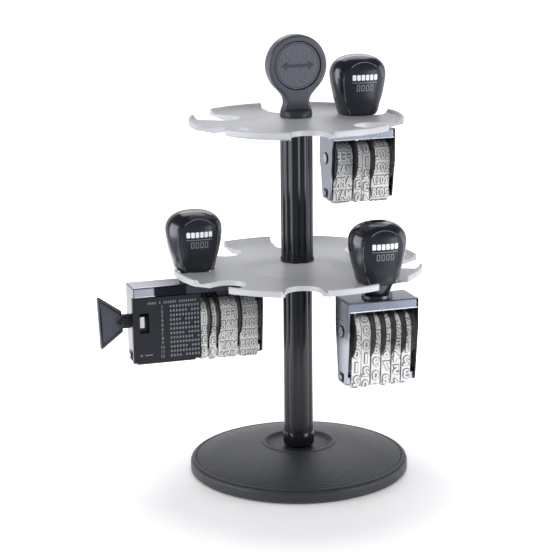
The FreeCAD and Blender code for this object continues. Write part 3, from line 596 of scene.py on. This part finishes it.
STAMPS = ("number", "date", "phrase")
MARK_DROP = 7.6  # from the inlay's top to the middle of its blocks
BLOCK_COUNT, BLOCK_PITCH, BLOCK_WIDE, BLOCK_TALL, BLOCK_CORNER = 6, 2.3, 1.85, 2.9, 0.5
RULE_DROP, RULE_LONG, LINE_WIDE = 2.6, 13.6, 0.4
WINDOW_COUNT, WINDOW_PITCH, WINDOW_DROP, WINDOW_WIDE, WINDOW_TALL = 4, 2.4, 5.3, 1.7, 3.2
# the fine pale line round an inlay, a painted highlight on its bezel: half widths, and heights over the
# inlay's foot
LINE_HALF, LINE_FOOT_HALF, HIP_BULGE = 10.45, 6.5, 0.7
LINE_FOOT, LINE_HIP, LINE_SHOULDER, LINE_CROWN = 0.6, 8.55, 19.0, 27.4
SIDE_STEPS, CROWN_STEPS = 16, 28


def handle_marks(stamp):
    """A row of blocks, a thin rule and a row of small windows on a handle's inlay,
    with a fine pale line round it: a painted highlight on the inlay's bezel."""
    low, high = box_mm(stamp + "_inlays")
    x = 0.5 * (low.x + high.x)
    z = high.z - MARK_DROP
    body = stamp + "_stamp"
    inlay = [stamp + "_inlays"]
    blocks = []
    for i in range(BLOCK_COUNT):
        block_x = x + (i - 0.5 * (BLOCK_COUNT - 1)) * BLOCK_PITCH
        blocks.append(round_box(block_x, z, BLOCK_WIDE, BLOCK_TALL, BLOCK_CORNER))
    draped(stamp + "_mark_blocks", blocks, inlay, LOOK["print"], body)
    rule = [bar(x, z - RULE_DROP, RULE_LONG, LINE_WIDE)]
    draped(stamp + "_mark_rule", rule, inlay, LOOK["dim_print"], body)
    windows = []
    for i in range(WINDOW_COUNT):
        window_x = x + (i - 0.5 * (WINDOW_COUNT - 1)) * WINDOW_PITCH
        windows += outline_box(window_x, z - WINDOW_DROP, WINDOW_WIDE, WINDOW_TALL, LINE_WIDE)
    draped(stamp + "_mark_boxes", windows, inlay, LOOK["dim_print"], body)
    hip_half = 0.5 * (LINE_HALF + LINE_FOOT_HALF) + HIP_BULGE
    base = low.z
    foot = (LINE_FOOT_HALF, base + LINE_FOOT)
    shoulder = (LINE_HALF, base + LINE_SHOULDER)
    right = three_point_arc(foot, (hip_half, base + LINE_HIP), shoulder, SIDE_STEPS)
    over = three_point_arc(shoulder, (0, base + LINE_CROWN), (-LINE_HALF, base + LINE_SHOULDER), CROWN_STEPS)
    path = right + over[1:] + [(-px, pz) for px, pz in reversed(right)][1:]
    path = [(x + px, pz) for px, pz in path]
    both = [stamp + "_inlays", stamp + "_handle"]
    ribbon(stamp + "_bezel_highlight", path, LINE_WIDE, both, LOOK["border"], body)


for stamp in STAMPS:
    handle_marks(stamp)


def slab(cells, front, thick):
    """Points and faces of thin blocks standing on a plane of constant y."""
    verts, faces = [], []
    for x0, x1, z0, z1 in cells:
        k = len(verts)
        corners = ((x0, z0), (x1, z0), (x1, z1), (x0, z1))
        verts += [(x, y, z) for y in (front - thick, front) for x, z in corners]
        faces += [
            (k, k + 1, k + 2, k + 3), (k + 7, k + 6, k + 5, k + 4),
            (k, k + 4, k + 5, k + 1), (k + 1, k + 5, k + 6, k + 2),
            (k + 2, k + 6, k + 7, k + 3), (k + 3, k + 7, k + 4, k),
        ]
    return verts, faces


PRINT_THICK = 0.06
ROW_DROP, ROW_PITCH, ROW_COUNT, ROW_HALF = 2.9, 2.36, 12, 0.6
NUMBER_X, NUMBER_SIZE = 15.3, 1.7
WORDS_X, WORD_BLOCKS, END_INSET, END_WIDE = 19.4, 9, 1.9, 0.9
HEAD_X, HEAD_BLOCKS, HEAD_GAPS = 8.0, 22, (4, 6, 13)
INKED = 0.56  # share of a block's step that is printed


def cover_marks():
    """A heading row and twelve numbered rows of plain blocks on the cover plate, each with a
    block at its end, and two small marks at the plate's foot."""
    low, high = box_mm("phrase_cover")
    front = low.y
    top = high.z - ROW_DROP
    number_x = low.x + NUMBER_X
    words_x = low.x + WORDS_X
    head_x = low.x + HEAD_X
    end_x = high.x - END_INSET
    cells = []
    for i in range(ROW_COUNT + 1):
        z = top - ROW_PITCH * i
        count = WORD_BLOCKS if i else HEAD_BLOCKS
        start_x = words_x if i else head_x
        step = (end_x - start_x) / count
        for k in range(count):
            x = start_x + step * k
            if i == 0 and k in HEAD_GAPS:
                continue
            if i and (i * 7 + k * 3) % 8 == 0 and k > 3:
                continue
            cells.append((x, x + INKED * step, z - ROW_HALF, z + ROW_HALF))
        if i:
            cells.append((end_x, end_x + END_WIDE, z - ROW_HALF, z + ROW_HALF))
    cells.append((low.x + 3.5, low.x + 4.6, low.z + 3.4, low.z + 4.4))
    cells.append((low.x + 6.0, low.x + 10.0, low.z + 3.6, low.z + 4.2))
    verts, faces = slab(cells, front, PRINT_THICK)
    add_mesh("phrase_cover_blocks", verts, faces, LOOK["dim_print"], "phrase_stamp")
    verts, faces = [], []
    for i in range(1, ROW_COUNT + 1):
        shape, shape_faces, aspect = text_shape(str(i))
        start = len(verts)
        z = top - ROW_PITCH * i
        for u, v, w in shape:
            y = front - PRINT_THICK * (w - 0.5) - 0.5 * PRINT_THICK
            verts.append((number_x + u * NUMBER_SIZE * aspect, y, z + v * NUMBER_SIZE))
        faces += [tuple(start + k for k in f) for f in shape_faces]
    add_mesh("phrase_cover_numbers", verts, faces, LOOK["dim_print"], "phrase_stamp")


DIAL_X, DIAL_DROP, DIAL_WIDE, DIAL_HALF, DIAL_THICK = 3.6, 13.2, 2.9, 2.9, 0.35


def dial_block():
    """The pale block of the text band that shows in the cover's window."""
    low, high = box_mm("phrase_cover")
    left, middle = low.x + DIAL_X, high.z - DIAL_DROP
    front = front_finder(["phrase_band_text"])(left + 1.4, middle)
    cell = (left, left + DIAL_WIDE, middle - DIAL_HALF, middle + DIAL_HALF)
    verts, faces = slab([cell], front + 0.05, DIAL_THICK)
    add_mesh("phrase_dial_block", verts, faces, LOOK["ivory"], "phrase_stamp")


KNOB_REACH, KNOB_ROOT = 11.6, 0.38  # the blade's length, and its root's height over its tip's
BORDER_WIDE, TIP_INSET, TIP_DROP, ROOT_INSET, ROOT_DROP = 1.0, 1.0, 1.9, 0.4, 0.9
EYE_RADIUS, EYE_WIDE, EYE_SHIFT, EYE_STEPS = 1.3, 2.5, 0.1, 24


def knob_marks():
    """The dark border of the butterfly knob's blade, painted shade along its recess edge, and the dark eye
    at its root.
    """
    low, high = box_mm("phrase_knob")
    middle, half_tip = 0.5 * (low.z + high.z), 0.5 * (high.z - low.z)
    root, half_root = low.x + KNOB_REACH, KNOB_ROOT * half_tip
    tip_x, tip_z = low.x + TIP_INSET, half_tip - TIP_DROP
    root_x, root_z = root - ROOT_INSET, half_root - ROOT_DROP
    edge = [
        (tip_x, middle), (tip_x, middle + tip_z), (root_x, middle + root_z),
        (root_x, middle - root_z), (tip_x, middle - tip_z), (tip_x, middle),
    ]
    ribbon("phrase_knob_border", edge, BORDER_WIDE, ["phrase_knob"], LOOK["wheel"], "phrase_dial")
    eye = []
    for i in range(EYE_STEPS + 1):
        a = 2 * math.pi * i / EYE_STEPS
        eye.append((root + EYE_SHIFT + EYE_RADIUS * math.cos(a), middle + EYE_RADIUS * math.sin(a)))
    ribbon("phrase_knob_eye", eye, EYE_WIDE, ["phrase_knob"], LOOK["wheel"], "phrase_dial")


cover_marks()
dial_block()
knob_marks()


# ---- painted shadows on the side plates and painted highlights on the lips ----
def disc(name, x, y, z, radius, thick, mat, body, sides=28):
    """A round plate standing on a plane of constant x, outwards to -X."""
    verts, faces = [], []
    for step in (0.0, -thick):
        for i in range(sides):
            a = 2 * math.pi * i / sides
            verts.append((x + step, y + radius * math.cos(a), z + radius * math.sin(a)))
    faces.append(tuple(range(sides)))
    faces.append(tuple(reversed(range(sides, 2 * sides))))
    for i in range(sides):
        j = (i + 1) % sides
        faces.append((i, i + sides, j + sides, j))
    return add_mesh(name, verts, faces, mat, body)


LUG_RISE, LUG_THICK = 3.2, 0.25  # from the frame's foot to the lug's middle
LUG_OUT_Y, LUG_OUT_Z, LUG_IN_Y, LUG_IN_Z = 2.3, 2.2, 1.4, 1.1
LUG_RING = [
    (-LUG_OUT_Y, -LUG_IN_Y, -LUG_OUT_Z, LUG_OUT_Z), (LUG_IN_Y, LUG_OUT_Y, -LUG_OUT_Z, LUG_OUT_Z),
    (-LUG_IN_Y, LUG_IN_Y, LUG_IN_Z, LUG_OUT_Z), (-LUG_IN_Y, LUG_IN_Y, -LUG_OUT_Z, -LUG_IN_Z),
]


def plate_fittings(stamp):
    """Dark shadow plates round the bridge lugs of a frame."""
    frame_low, frame_high = box_mm(stamp + "_frame")
    y = 0.5 * (frame_low.y + frame_high.y)
    z = frame_low.z + LUG_RISE
    for side, x in (("left", frame_low.x), ("right", frame_high.x)):
        out = -1 if side == "left" else 1
        x0, x1 = sorted((x, x + out * LUG_THICK))
        verts, faces = [], []
        for y0, y1, z0, z1 in LUG_RING:
            k = len(verts)
            corners = ((y0, z0), (y1, z0), (y1, z1), (y0, z1))
            verts += [(px, y + py, z + pz) for px in (x0, x1) for py, pz in corners]
            faces += [
                (k + 3, k + 2, k + 1, k), (k + 4, k + 5, k + 6, k + 7),
                (k, k + 1, k + 5, k + 4), (k + 1, k + 2, k + 6, k + 5),
                (k + 2, k + 3, k + 7, k + 6), (k + 3, k, k + 4, k + 7),
            ]
        add_mesh("%s_lug_%s" % (stamp, side), verts, faces, LOOK["dark"], stamp + "_stamp")


LIP_DEPTH, LIP_HIGHLIGHT_TALL, LIP_OVERLAP = 5.0, 0.42, 0.02
# how far the painted highlight on the lip stays clear of the frame's left and right side
LIP_ENDS = {"number": (1.0, 0.6), "date": (1.0, 0.6), "phrase": (1.0, 57.5)}
RIVET_SHADE_RADIUS, RIVET_SHADE_THICK = 3.2, 0.12


def lip_edge(stamp, start, stop):
    """Painted highlight along the lower edge of the frame's front lip."""
    low, high = box_mm(stamp + "_frame")
    bottom = high.z - LIP_DEPTH
    cells = [(low.x + start, high.x - stop, bottom - LIP_OVERLAP, bottom + LIP_HIGHLIGHT_TALL)]
    verts, faces = slab(cells, low.y + LIP_OVERLAP, PRINT_THICK)
    add_mesh(stamp + "_lip_edge", verts, faces, LOOK["lip_highlight_paint"], stamp + "_stamp")


def rivet_shade(stamp):
    """A thin dark disc round the axle's riveted end on the left side plate."""
    plate_x = box_mm(stamp + "_frame")[0].x
    axle_low, axle_high = box_mm(stamp + "_axle")
    y, z = 0.5 * (axle_low.y + axle_high.y), 0.5 * (axle_low.z + axle_high.z)
    radius, thick = RIVET_SHADE_RADIUS, RIVET_SHADE_THICK
    disc(stamp + "_rivet_shade", plate_x, y, z, radius, thick, LOOK["dark"], stamp + "_stamp")


for stamp in STAMPS:
    plate_fittings(stamp)
for stamp in STAMPS:
    lip_edge(stamp, *LIP_ENDS[stamp])
for stamp in ("number", "date"):
    rivet_shade(stamp)


# ---- dark leaves between the frames' tops and the bands: painted shade ----
SHEET = 0.9  # from the frame's top face to where the leaves hang
LEAF_THICK = 0.7
LEAF_END, LEAF_BEND, LEAF_FOOT = 5.2, 3.4, 1.3  # half lengths of the outer side
LEAF_INNER_END, LEAF_INNER_FOOT = 3.0, 0.8


def detent_leaf(stamp, piece, clear, inset):
    """A bent dark strip, shaped as a detent spring, that hangs from the frame's top over one band: painted
    shade in the gap there.
    """
    frame_top = box_mm(stamp + "_frame")[1].z
    low, high = box_mm(piece)
    y = 0.5 * (low.y + high.y)
    top, bottom = frame_top - SHEET, high.z + clear
    bend, inner = top - LEAF_THICK, bottom + LEAF_THICK
    profile = [
        (y - LEAF_END, top), (y - LEAF_BEND, bend), (y - LEAF_FOOT, bottom),
        (y + LEAF_FOOT, bottom), (y + LEAF_BEND, bend), (y + LEAF_END, top),
        (y + LEAF_INNER_END, top), (y + LEAF_INNER_FOOT, inner),
        (y - LEAF_INNER_FOOT, inner), (y - LEAF_INNER_END, top),
    ]
    count = len(profile)
    verts = [(x, u, z) for x in (low.x + inset, high.x - inset) for u, z in profile]
    faces = [(k, k + count, (k + 1) % count + count, (k + 1) % count) for k in range(count)]
    ends = [(0, 1, 8, 9), (1, 2, 7, 8), (2, 3, 7), (3, 4, 6, 7), (4, 5, 6)]
    faces += ends + [tuple(k + count for k in reversed(f)) for f in ends]
    add_mesh(piece + "_leaf", verts, faces, LOOK["wheel"], stamp + "_stamp")


BAND_CLEAR, BAND_INSET = 0.95, 0.1
DRUM_CLEAR, DRUM_INSET = 0.6, 0.3
for i in NUMBER_BANDS:
    detent_leaf("number", "number_band_%d" % i, BAND_CLEAR, BAND_INSET)
for stamp in ("date", "phrase"):
    for wheel in ("month", "tens", "units", "year"):
        detent_leaf(stamp, "%s_band_%s" % (stamp, wheel), BAND_CLEAR, BAND_INSET)
detent_leaf("phrase", "phrase_drum", DRUM_CLEAR, DRUM_INSET)


# ---- finial ----
def ring_mesh(name, x, z, y, radius, tube, mat, body, sides=72, tube_sides=8):
    """A thin torus round an axis along Y."""
    verts, faces = [], []
    for i in range(sides):
        a = 2 * math.pi * i / sides
        for k in range(tube_sides):
            b = 2 * math.pi * k / tube_sides
            r = radius + tube * math.cos(b)
            verts.append((x + r * math.cos(a), y + tube * math.sin(b), z + r * math.sin(a)))
    for i in range(sides):
        for k in range(tube_sides):
            j, m = (i + 1) % sides, (k + 1) % tube_sides
            faces.append((i * tube_sides + k, i * tube_sides + m, j * tube_sides + m, j * tube_sides + k))
    return add_mesh(name, verts, faces, mat, body, smooth=True)


def turn_arrow():
    """A two-headed arrow in low relief across the medallion's face."""
    low, high = box_mm("finial_medallion")
    z = 0.5 * (low.z + high.z)
    reach, neck, bar_half, head_half = 8.6, 5.6, 0.75, 2.2
    proud, sunk = 0.22, 0.1
    outline = [
        (-reach, 0), (-neck, -head_half), (-neck, -bar_half), (neck, -bar_half), (neck, -head_half),
        (reach, 0), (neck, head_half), (neck, bar_half), (-neck, bar_half), (-neck, head_half),
    ]
    count = len(outline)
    verts = [(px, y, z + pz) for y in (low.y - proud, low.y + sunk) for px, pz in outline]
    faces = [(2, 3, 7, 8), (0, 1, 2, 8, 9), (3, 4, 5, 6, 7)]
    faces += [tuple(count + k for k in reversed(f)) for f in faces]
    for i in range(count):
        j = (i + 1) % count
        faces.append((i, i + count, j + count, j))
    add_mesh("finial_arrow", verts, faces, LOOK["emboss"], "carousel")


def medallion_ring(name, inset, tube, look):
    """A ring on the medallion's face, set in from its rim."""
    low, high = box_mm("finial_medallion")
    z, radius = 0.5 * (low.z + high.z), 0.5 * (high.z - low.z) - inset
    ring_mesh(name, 0, z, low.y, radius, tube, LOOK[look], "carousel")


medallion_ring("finial_groove", 0.25, 0.3, "dark")
medallion_ring("finial_line", 1.35, 0.14, "emboss")
turn_arrow()


# ---- floor, light and camera ----
def glowing(mat, near, far, near_at, far_at, centre):
    """A white sweep whose own light makes up for the lamps it has far away."""
    tree = mat.node_tree
    shader = tree.nodes["Principled BSDF"]
    coord = tree.nodes.new("ShaderNodeTexCoord")
    size = tree.nodes.new("ShaderNodeVectorMath")
    size.operation = "LENGTH"
    spread = tree.nodes.new("ShaderNodeMapRange")
    spread.inputs["From Min"].default_value = near_at
    spread.inputs["From Max"].default_value = far_at
    spread.inputs["To Min"].default_value = near
    spread.inputs["To Max"].default_value = far
    shader.inputs["Emission Color"].default_value = (1, 1, 1, 1)
    shift = tree.nodes.new("ShaderNodeVectorMath")
    shift.operation = "SUBTRACT"
    shift.inputs[1].default_value = centre
    tree.links.new(coord.outputs["Object"], shift.inputs[0])
    tree.links.new(shift.outputs["Vector"], size.inputs[0])
    tree.links.new(size.outputs["Value"], spread.inputs["Value"])
    tree.links.new(spread.outputs["Result"], shader.inputs["Emission Strength"])
    return mat


FLOOR_NEAR, FLOOR_FAR, FLOOR_FAR_HALF = 0.22, 9.0, 1.9  # metres from the pole's axis
GLOW_NEAR, GLOW_FAR, GLOW_START, GLOW_END, GLOW_SHIFT = 0.22, 1.0, 0.066, 0.20, -0.03


def make_floor():
    """A white table that widens away from the camera."""
    yaw = math.radians(YAW)
    right = Vector((math.cos(yaw), -math.sin(yaw), 0))
    away = Vector((math.sin(yaw), math.cos(yaw), 0))
    corners = [
        (-FLOOR_NEAR, -FLOOR_NEAR), (FLOOR_NEAR, -FLOOR_NEAR),
        (FLOOR_FAR_HALF, FLOOR_FAR), (-FLOOR_FAR_HALF, FLOOR_FAR),
    ]
    mesh = bpy.data.meshes.new("floor")
    mesh.from_pydata([right * u + away * v for u, v in corners], [], [(0, 1, 2, 3)])
    obj = bpy.data.objects.new("floor", mesh)
    bpy.context.collection.objects.link(obj)
    paper = material("floor", (0.85, 0.85, 0.85), 0.6, spec=0.1)
    centre = away * GLOW_SHIFT
    obj.data.materials.append(glowing(paper, GLOW_NEAR, GLOW_FAR, GLOW_START, GLOW_END, centre))


make_floor()


VIEW_DIP = -0.31  # how much the camera's sight line dips
MIX_FACTOR, MIX_A, MIX_B, MIX_RESULT = 0, 6, 7, 2  # sockets of a colour mix


def studio(front_stops, back_color, back_edge):
    """Near white all the way behind the object, a grey gradient in front of it."""
    world = bpy.data.worlds.new("studio")
    bpy.context.scene.world = world
    world.use_nodes = True
    tree = world.node_tree
    new, link = tree.nodes.new, tree.links.new
    coord = new("ShaderNodeTexCoord")

    def along(direction, start, stop):
        """How far a sight line points along a direction, stretched to 0..1."""
        dot = new("ShaderNodeVectorMath")
        dot.operation = "DOT_PRODUCT"
        dot.inputs[1].default_value = Vector(direction).normalized()
        stretch = new("ShaderNodeMapRange")
        stretch.inputs["From Min"].default_value = start
        stretch.inputs["From Max"].default_value = stop
        link(coord.outputs["Generated"], dot.inputs[0])
        link(dot.outputs["Value"], stretch.inputs["Value"])
        return stretch.outputs["Result"]

    ramp = new("ShaderNodeValToRGB")
    marks = ramp.color_ramp.elements
    for i, (height, color) in enumerate(front_stops):
        mark = marks[i] if i < 2 else marks.new(1.0)
        mark.position = 0.5 + 0.5 * height
        mark.color = (*color, 1)
    mix = new("ShaderNodeMix")
    mix.data_type = "RGBA"
    mix.inputs[MIX_B].default_value = (*back_color, 1)
    yaw = math.radians(YAW)
    link(along((0, 0, 1), -1.0, 1.0), ramp.inputs["Fac"])
    link(along((math.sin(yaw), math.cos(yaw), VIEW_DIP), *back_edge), mix.inputs[MIX_FACTOR])
    link(ramp.outputs["Color"], mix.inputs[MIX_A])
    link(mix.outputs[MIX_RESULT], tree.nodes["Background"].inputs["Color"])
    tree.nodes["Background"].inputs["Strength"].default_value = 1.0


FRONT_STOPS = [
    (-0.6, (0.45, 0.48, 0.56)), (-0.05, (0.50, 0.53, 0.60)),
    (0.15, (0.22, 0.23, 0.26)), (0.6, (0.10, 0.10, 0.12)),
]
studio(FRONT_STOPS, back_color=(0.80, 0.80, 0.82), back_edge=(0.55, 0.72))

LAMP_COOL, LAMP_WHITE = (0.92, 0.95, 1.0), (1.0, 1.0, 1.0)
LAMP_AIM = (0, 0, 0.12)


def area_light(name, azimuth, elevation, distance, size, power, glossy=True, diffuse=True):
    """A rectangular lamp aimed at the middle of the stand, in degrees, metres and watts.
    Azimuth 0 is in front of the stamps, and 90 to their right."""
    data = bpy.data.lights.new(name, "AREA")
    data.shape = "RECTANGLE"
    data.size, data.size_y = size
    data.energy = power
    data.color = LAMP_COOL if glossy else LAMP_WHITE
    obj = bpy.data.objects.new(name, data)
    a, e = math.radians(azimuth), math.radians(elevation)
    aim = Vector(LAMP_AIM)
    reach = Vector((math.sin(a) * math.cos(e), -math.cos(a) * math.cos(e), math.sin(e)))
    obj.location = aim + reach * distance
    obj.rotation_euler = (-reach).to_track_quat("-Z", "Y").to_euler()
    obj.visible_glossy = glossy
    obj.visible_diffuse = diffuse
    bpy.context.collection.objects.link(obj)
    return obj


area_light("back", 161.6, 47, 1.0, (0.7, 0.85), 3.8, diffuse=False)
area_light("left", -104, 5, 1.0, (0.9, 1.1), 8.0, glossy=False)
area_light("left_card", -92, 6, 1.0, (1.1, 0.9), 10.5, diffuse=False)
area_light("right", 58, 0, 1.1, (0.5, 0.9), 7.5, glossy=False)
area_light("right_card", 42, 0, 1.1, (0.56, 0.8), 6.0, diffuse=False)
area_light("side_card", 88, 4, 1.1, (0.7, 0.9), 2.6, diffuse=False)
area_light("top", 160, 62, 1.2, (0.9, 0.6), 5.0, glossy=False)
area_light("fill", -15, 31, 1.6, (0.9, 0.6), 13.5, glossy=False)

FRAME_PX, FOCAL_PX, SENSOR = 560.0, 1768.7, 36.0
CAMERA_DISTANCE, CAMERA_HEIGHT = 0.8874, 0.3159  # metres from the pole's axis and over the desk
CAMERA_TURN, CAMERA_DIP, CAMERA_ROLL = 0.58, 13.53, -0.59  # degrees


def make_camera():
    """The photograph's viewing angle: from the stamps' left, a little from above."""
    data = bpy.data.cameras.new("camera")
    data.sensor_width = SENSOR
    data.lens = SENSOR * FOCAL_PX / FRAME_PX
    obj = bpy.data.objects.new("camera", data)
    bpy.context.collection.objects.link(obj)
    a = math.radians(-YAW)
    obj.location = Vector((math.sin(a) * CAMERA_DISTANCE, -math.cos(a) * CAMERA_DISTANCE, CAMERA_HEIGHT))
    heading = Matrix.Rotation(math.radians(-YAW + CAMERA_TURN), 4, "Z")
    tilt = Matrix.Rotation(math.radians(90 - CAMERA_DIP), 4, "X")
    roll = Matrix.Rotation(math.radians(CAMERA_ROLL), 4, "Z")
    obj.rotation_euler = (heading @ tilt @ roll).to_euler()
    bpy.context.scene.camera = obj


make_camera()
bpy.context.scene.view_settings.view_transform = "Standard"
